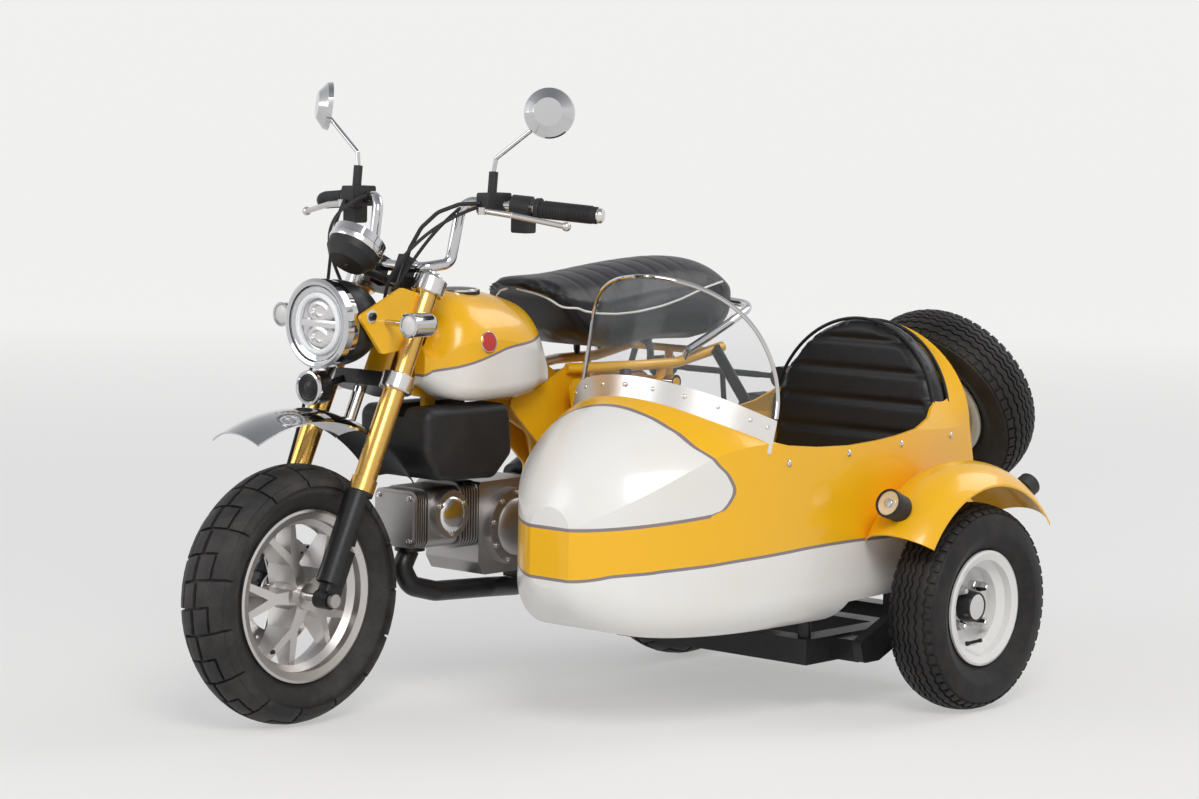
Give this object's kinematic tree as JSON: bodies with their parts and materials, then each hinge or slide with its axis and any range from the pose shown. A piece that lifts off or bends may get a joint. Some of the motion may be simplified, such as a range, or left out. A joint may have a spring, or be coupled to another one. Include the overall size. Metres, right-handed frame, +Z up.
{
  "type": "small motorcycle with sidecar",
  "caption": "Small retro minibike with tall handlebars, round headlamp and a single-seat sidecar with windscreen, spare wheel and mudguard on its left side.",
  "frame": {"origin": "on the ground, under the middle of the whole vehicle", "axes": "+X forward, +Y to the rider's left, towards the sidecar, +Z up"},
  "size_m": [1.8564, 1.243, 1.2113],
  "materials": {
    "yellow_paint": "gloss",
    "white_paint": "gloss",
    "gold_fork": "gloss",
    "silver_metal": "satin",
    "engine_metal": "satin",
    "chrome": "polished",
    "steel": "brushed",
    "black_metal": "satin",
    "black_plastic": "matte",
    "rubber": "matte",
    "tyre": "matte",
    "vinyl": "satin",
    "lens": "clear",
    "amber_lens": "gloss"
  },
  "bodies": {
    "chassis": {"airbox": "black_plastic", "drive_chain": "steel", "engine_case": "engine_metal", "engine_cylinder": "engine_metal", "exhaust": "black_metal", "footpegs": "black_metal", "frame": "yellow_paint", "fuel_tank": "yellow_paint", "grab_rail": "chrome", "hull_lower": "white_paint", "hull_upper": "yellow_paint", "mudguard_lamps": "amber_lens", "rear_axle": "steel", "rear_lamps": "amber_lens", "rear_mudguard": "chrome", "seat": "vinyl", "shock_absorbers": "chrome", "side_covers": "yellow_paint", "sidecar_backrest": "vinyl", "sidecar_cushion": "vinyl", "sidecar_frame": "black_metal", "sidecar_mudguard": "yellow_paint", "sidecar_struts": "black_metal", "spare_bracket": "black_metal", "spare_rim": "white_paint", "spare_tyre": "tyre", "swingarm": "yellow_paint", "tank_cap": "black_plastic", "windscreen": "lens", "windscreen_band": "white_paint"},
    "fork": {"yokes_and_stem": "silver_metal", "fork_tubes": "gold_fork", "fork_lowers": "black_metal", "front_axle": "steel", "handlebar": "chrome", "grips": "rubber", "bar_controls": "black_plastic", "levers": "silver_metal", "mirrors": "chrome", "headlamp_shell": "black_metal", "chrome_rings": "chrome", "headlamp_lens": "lens", "headlamp_stays": "yellow_paint", "front_signals": "amber_lens", "meter": "black_plastic", "horn": "black_metal", "front_mudguard": "chrome", "front_mudguard_tail": "black_plastic", "brake_caliper": "black_metal", "control_cables": "rubber"},
    "front_wheel": {"front_tyre": "tyre", "front_rim": "silver_metal", "front_brake_disc": "steel"},
    "rear_wheel": {"rear_tyre": "tyre", "rear_rim": "silver_metal", "rear_sprocket_and_disc": "steel"},
    "sidecar_wheel": {"sidecar_tyre": "tyre", "sidecar_rim": "white_paint", "sidecar_hub": "steel"}
  },
  "joints": [
    {"name": "steering", "type": "hinge", "parent": "chassis", "child": "fork", "pos_m": [0.76221, -0.24242, 0], "axis": [-0.4226, 0, 0.9063], "range_deg": [-30, 30]},
    {"name": "front_wheel_spin", "type": "hinge", "parent": "fork", "child": "front_wheel", "pos_m": [0.68021, -0.24242, 0.248], "axis": [0, 1, 0], "continuous": true},
    {"name": "rear_wheel_spin", "type": "hinge", "parent": "chassis", "child": "rear_wheel", "pos_m": [-0.47479, -0.24242, 0.256], "axis": [0, 1, 0], "continuous": true},
    {"name": "sidecar_wheel_spin", "type": "hinge", "parent": "chassis", "child": "sidecar_wheel", "pos_m": [-0.39079, 0.56058, 0.205], "axis": [0, 1, 0], "continuous": true}
  ]
}
